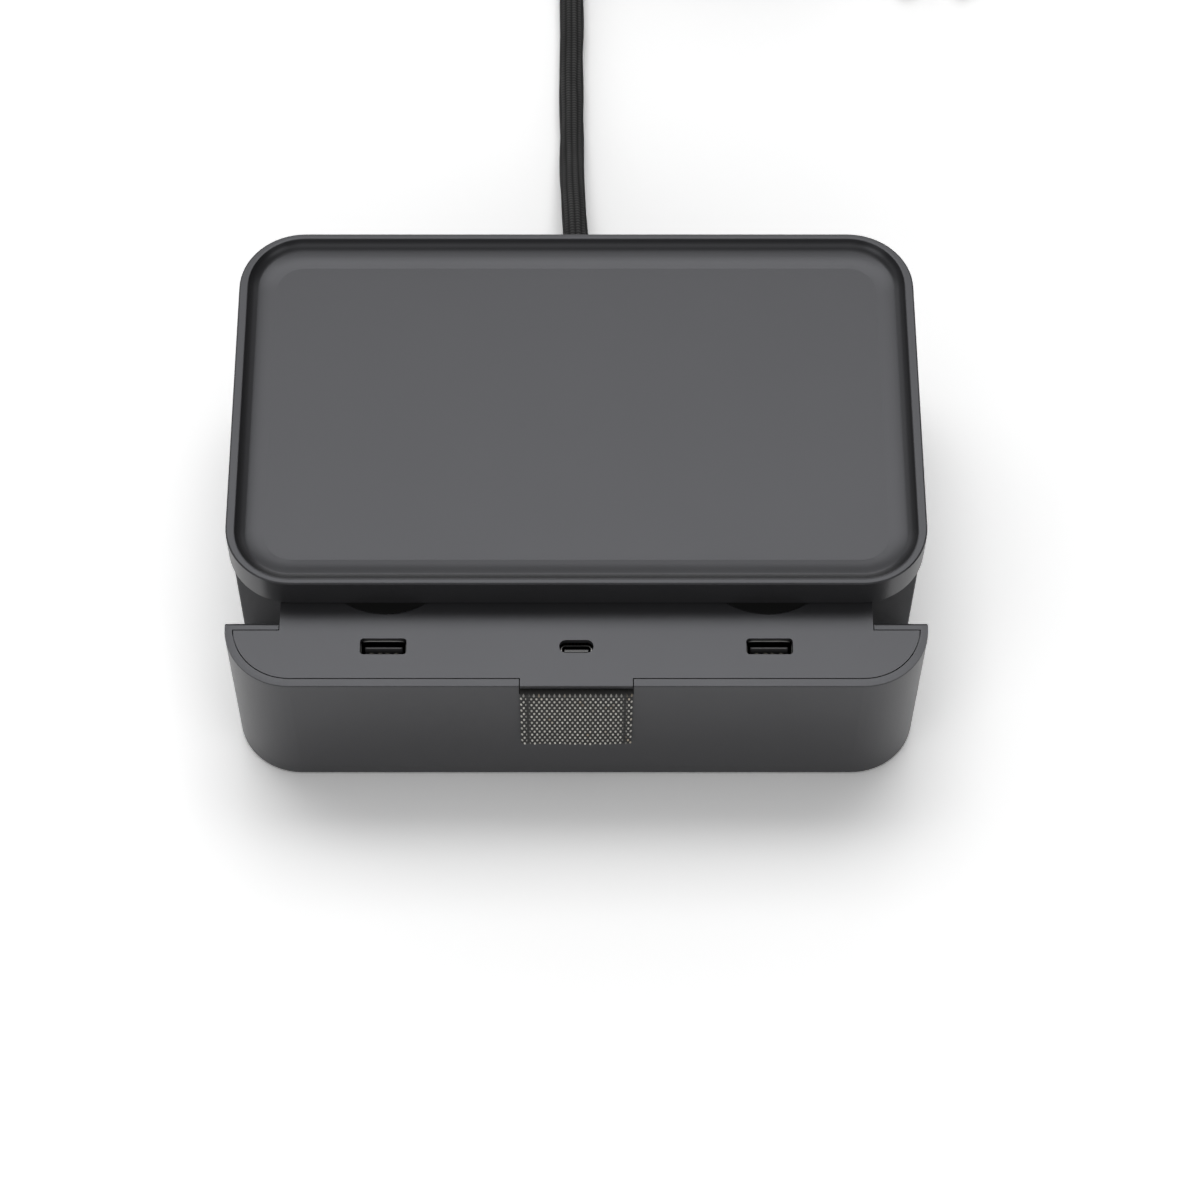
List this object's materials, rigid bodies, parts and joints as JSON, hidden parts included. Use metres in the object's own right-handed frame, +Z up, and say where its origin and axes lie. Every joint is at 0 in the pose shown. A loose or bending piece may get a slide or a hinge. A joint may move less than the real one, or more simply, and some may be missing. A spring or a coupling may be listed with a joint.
{
  "type": "wireless charger",
  "caption": "Desktop charging box: a shallow wireless charging tray over a sliding drawer with cable sockets, round wells and a woven pull tab, with a textile mains cord.",
  "frame": {"origin": "on the table, under the middle of the tray, on the base pad's underside", "axes": "+X to the right as the drawer faces the user, +Y to the back where the cord leaves, +Z up"},
  "size_m": [0.2387, 0.432, 0.068],
  "materials": {
    "case_plastic": "fine-grained matt dark grey",
    "plate_plastic": "matt black",
    "well_plastic": "matt black",
    "pad_rubber": "matt black rubber",
    "slide_plastic": "smooth off-white",
    "plated_steel": "plated",
    "socket_steel": "bright drawn steel",
    "socket_plastic": "moulded black",
    "contact_gold": "gold-plated",
    "board_laminate": "green solder mask",
    "chip_plastic": "moulded black",
    "ferrite": "dull dark grey",
    "copper": "enamelled copper wire",
    "capacitor_sleeve": "shrunk sleeve",
    "sink_metal": "plain sheet",
    "fuse_glass": "clear tube",
    "lead_film": "amber film",
    "tab_cloth": "black and off-white weave",
    "cord_braid": "black textile braid",
    "tie_plastic": "matt black",
    "pin_metal": "nickel-plated"
  },
  "bodies": {
    "housing": {"base_pad": "pad_rubber", "base_shell": "case_plastic", "bulk_capacitor": "capacitor_sleeve", "case_screws": "plated_steel", "channel_screws": "plated_steel", "charger_board": "board_laminate", "charger_chips": "chip_plastic", "charging_coil": "copper", "cord_clamp": "plate_plastic", "cord_clamp_screws": "plated_steel", "cord_coil": "cord_braid", "cord_end": "cord_braid", "cord_gland": "pad_rubber", "cord_tail": "cord_braid", "cord_tie": "tie_plastic", "ferrite_shield": "ferrite", "filter_choke": "chip_plastic", "flex_lead": "lead_film", "fuse": "fuse_glass", "heat_sink": "sink_metal", "lead_socket": "plate_plastic", "mains_wires": "capacitor_sleeve", "plate_screws": "plated_steel", "plug_body": "plate_plastic", "plug_pin_left": "pin_metal", "plug_pin_right": "pin_metal", "power_board": "board_laminate", "power_board_screws": "plated_steel", "power_cord": "cord_braid", "runner_left": "slide_plastic", "runner_right": "slide_plastic", "slide_channel_left": "plated_steel", "slide_channel_right": "plated_steel", "terminal_block": "plate_plastic", "top_tray": "case_plastic", "transformer": "chip_plastic", "tray_plate": "plate_plastic"},
    "drawer": {"converter_coils": "chip_plastic", "deck_screws": "plated_steel", "drawer_lead": "lead_film", "drawer_shell": "case_plastic", "port_board": "board_laminate", "port_board_screws": "plated_steel", "port_deck": "case_plastic", "pull_tab": "tab_cloth", "shoe_screws": "plated_steel", "slide_shoe_left": "slide_plastic", "slide_shoe_right": "slide_plastic", "tab_clamp": "plate_plastic", "tab_clamp_screws": "plated_steel", "usb_a_contacts": "contact_gold", "usb_a_shell_left": "socket_steel", "usb_a_shell_right": "socket_steel", "usb_a_tongue_left": "socket_plastic", "usb_a_tongue_right": "socket_plastic", "usb_c_shell": "socket_steel", "usb_c_tongue": "socket_plastic", "well_cup_left": "well_plastic", "well_cup_right": "well_plastic"}
  },
  "joints": [
    {"name": "drawer_slide", "type": "slide", "parent": "housing", "child": "drawer", "axis": [0, -1, 0], "range_m": [-0.0264, 0.0396], "deforming": ["flex_lead"]}
  ]
}
